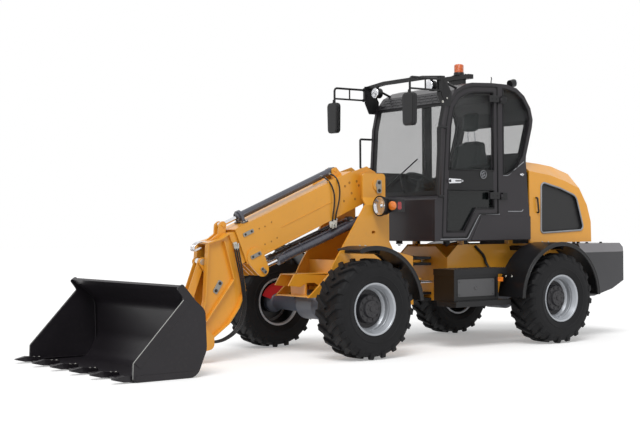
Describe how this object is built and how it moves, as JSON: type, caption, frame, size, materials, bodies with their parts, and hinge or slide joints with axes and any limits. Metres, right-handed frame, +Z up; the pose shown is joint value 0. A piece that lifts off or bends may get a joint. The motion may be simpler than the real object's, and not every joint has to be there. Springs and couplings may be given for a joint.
{
  "type": "compact telescopic articulated wheel loader",
  "caption": "Compact articulated wheel loader with telescopic boom, toothed bucket, enclosed cab, opening door and hood.",
  "frame": {"origin": "centre of the machine's footprint at ground level, under the middle of its overall length and width", "axes": "+X forward, from counterweight to bucket; +Y to the machine's left; +Z up"},
  "size_m": [7.453, 2.324, 3.377],
  "materials": {
    "yellow_paint": "satin",
    "black_paint": "satin",
    "cab_paint": "satin",
    "grey_paint": "satin",
    "bucket_paint": "satin",
    "rim_paint": "satin",
    "axle_paint": "satin",
    "cylinder_steel": "satin",
    "chrome_rod": "polished",
    "pin_steel": "satin",
    "tyre_rubber": "matte",
    "cab_glass": "clear",
    "black_plastic": "matte",
    "lamp_plastic": "gloss",
    "beacon_plastic": "gloss",
    "grille_black": "matte",
    "engine_paint": "matte"
  },
  "bodies": {
    "rear_frame": {"rear_chassis": "yellow_paint", "steering_clevis": "black_paint", "rear_axle": "axle_paint", "rear_fenders": "black_plastic", "counterweight": "grey_paint", "tow_hitch": "pin_steel", "side_steps": "black_paint", "cab_side_left": "cab_paint", "cab_side_right": "cab_paint", "cab_roof": "cab_paint", "cab_panels": "cab_paint", "cab_glass": "cab_glass", "fixed_hinges": "black_paint", "operator_station": "black_plastic", "engine": "engine_paint", "roof_gear": "black_plastic", "beacon": "beacon_plastic", "mirrors": "black_plastic"},
    "front_frame": {"tower_sides": "yellow_paint", "front_crossmembers": "yellow_paint", "hinge_tongues": "yellow_paint", "tower_pins": "pin_steel", "front_axle": "axle_paint", "front_fenders": "black_plastic", "front_lamps": "lamp_plastic"},
    "wheel_front_left": {"tyre_front_left": "tyre_rubber", "rim_front_left": "rim_paint"},
    "wheel_front_right": {"tyre_front_right": "tyre_rubber", "rim_front_right": "rim_paint"},
    "wheel_rear_left": {"tyre_rear_left": "tyre_rubber", "rim_rear_left": "rim_paint"},
    "wheel_rear_right": {"tyre_rear_right": "tyre_rubber", "rim_rear_right": "rim_paint"},
    "outer_boom": {"outer_boom_sides": "yellow_paint", "outer_boom_covers": "yellow_paint", "extension_barrel": "cylinder_steel"},
    "inner_boom": {"inner_boom_sides": "yellow_paint", "inner_boom_covers": "yellow_paint", "extension_rod": "chrome_rod", "head_webs": "yellow_paint", "head_flanges": "yellow_paint"},
    "bucket": {"coupler": "yellow_paint", "bucket_shell": "bucket_paint", "bucket_sides": "bucket_paint", "bucket_teeth": "bucket_paint"},
    "tilt_lever": {"tilt_levers": "yellow_paint"},
    "tilt_link": {"tilt_links": "yellow_paint"},
    "tilt_barrel": {"tilt_barrel": "cylinder_steel"},
    "tilt_rod": {"tilt_rod": "chrome_rod"},
    "lift_barrel": {"lift_barrels": "cylinder_steel"},
    "lift_rod": {"lift_rods": "chrome_rod"},
    "door": {"door": "cab_paint", "door_glass": "cab_glass"},
    "hood": {"hood": "yellow_paint", "hood_grilles": "grille_black"},
    "steer_barrel_left": {"steer_barrel_left": "cylinder_steel"},
    "steer_rod_left": {"steer_rod_left": "chrome_rod"},
    "steer_barrel_right": {"steer_barrel_right": "cylinder_steel"},
    "steer_rod_right": {"steer_rod_right": "chrome_rod"}
  },
  "joints": [
    {"name": "wheel_front_left_spin", "type": "hinge", "parent": "front_frame", "child": "wheel_front_left", "pos_m": [0.6335, 0.9, 0.5375], "axis": [0, 1, 0], "continuous": true},
    {"name": "wheel_front_right_spin", "type": "hinge", "parent": "front_frame", "child": "wheel_front_right", "pos_m": [0.6335, -0.9, 0.5375], "axis": [0, 1, 0], "continuous": true},
    {"name": "wheel_rear_left_spin", "type": "hinge", "parent": "rear_frame", "child": "wheel_rear_left", "pos_m": [-2.2165, 0.9, 0.5375], "axis": [0, 1, 0], "continuous": true},
    {"name": "wheel_rear_right_spin", "type": "hinge", "parent": "rear_frame", "child": "wheel_rear_right", "pos_m": [-2.2165, -0.9, 0.5375], "axis": [0, 1, 0], "continuous": true},
    {"name": "steer", "type": "hinge", "parent": "rear_frame", "child": "front_frame", "pos_m": [-0.7915, 0, 0.785], "axis": [0, 0, 1], "range_deg": [-38, 38]},
    {"name": "boom", "type": "hinge", "parent": "front_frame", "child": "outer_boom", "pos_m": [-0.0765, 0, 1.885], "axis": [0, -1, 0], "range_deg": [0, 60]},
    {"name": "telescope", "type": "slide", "parent": "outer_boom", "child": "inner_boom", "axis": [0.9245, 0, -0.3811], "range_m": [0, 0.9]},
    {"name": "bucket_tilt", "type": "hinge", "parent": "inner_boom", "child": "bucket", "pos_m": [2.1785, 0, 0.213], "axis": [0, -1, 0], "range_deg": [-45, 38]},
    {"name": "tilt_lever_swing", "type": "hinge", "parent": "inner_boom", "child": "tilt_lever", "pos_m": [1.9535, 0, 0.8], "axis": [0, -1, 0], "range_deg": [-46, 39]},
    {"name": "tilt_link_swing", "type": "hinge", "parent": "tilt_lever", "child": "tilt_link", "pos_m": [2.1405, 0, 1.055], "axis": [0, -1, 0], "range_deg": [-39, 46]},
    {"name": "tilt_barrel_swing", "type": "hinge", "parent": "inner_boom", "child": "tilt_barrel", "pos_m": [0.87881, 0, 1.54813], "axis": [0, -1, 0], "range_deg": [-3, 3]},
    {"name": "tilt_rod_slide", "type": "slide", "parent": "tilt_barrel", "child": "tilt_rod", "axis": [0.9314, 0, -0.364], "range_m": [-0.2, 0.23]},
    {"name": "lift_barrel_swing", "type": "hinge", "parent": "front_frame", "child": "lift_barrel", "pos_m": [0.0695, 0, 1.47], "axis": [0, -1, 0], "range_deg": [0, 63]},
    {"name": "lift_rod_slide", "type": "slide", "parent": "lift_barrel", "child": "lift_rod", "axis": [0.9379, 0, -0.3469], "range_m": [0, 0.44]},
    {"name": "door_swing", "type": "hinge", "parent": "rear_frame", "child": "door", "pos_m": [-1.6215, 0.685, 2.3], "axis": [0, 0, 1], "range_deg": [0, 100]},
    {"name": "hood_lift", "type": "hinge", "parent": "rear_frame", "child": "hood", "pos_m": [-3.2815, 0, 1.225], "axis": [0, -1, 0], "range_deg": [0, 65]},
    {"name": "steer_barrel_left_swing", "type": "hinge", "parent": "rear_frame", "child": "steer_barrel_left", "pos_m": [-1.4915, 0.3, 0.76], "axis": [0, 0, 1], "range_deg": [-6, 6]},
    {"name": "steer_rod_left_slide", "type": "slide", "parent": "steer_barrel_left", "child": "steer_rod_left", "axis": [1, 0, 0], "range_m": [-0.195, 0.195]},
    {"name": "steer_barrel_right_swing", "type": "hinge", "parent": "rear_frame", "child": "steer_barrel_right", "pos_m": [-1.4915, -0.3, 0.76], "axis": [0, 0, 1], "range_deg": [-6, 6]},
    {"name": "steer_rod_right_slide", "type": "slide", "parent": "steer_barrel_right", "child": "steer_rod_right", "axis": [1, 0, 0], "range_m": [-0.195, 0.195]}
  ],
  "couplings": [
    {"joint": "tilt_lever_swing", "follows": "bucket_tilt", "ratio": 1},
    {"joint": "tilt_link_swing", "follows": "bucket_tilt", "ratio": -1},
    {"joint": "tilt_barrel_swing", "follows": "bucket_tilt", "ratio": 0.05},
    {"joint": "tilt_rod_slide", "follows": "bucket_tilt", "m_per_rad": -0.2793},
    {"joint": "lift_barrel_swing", "follows": "boom", "ratio": 1.045},
    {"joint": "lift_rod_slide", "follows": "boom", "m_per_rad": 0.4157},
    {"joint": "steer_barrel_left_swing", "follows": "steer", "ratio": 0.15},
    {"joint": "steer_rod_left_slide", "follows": "steer", "m_per_rad": -0.287},
    {"joint": "steer_barrel_right_swing", "follows": "steer", "ratio": 0.15},
    {"joint": "steer_rod_right_slide", "follows": "steer", "m_per_rad": 0.287}
  ]
}
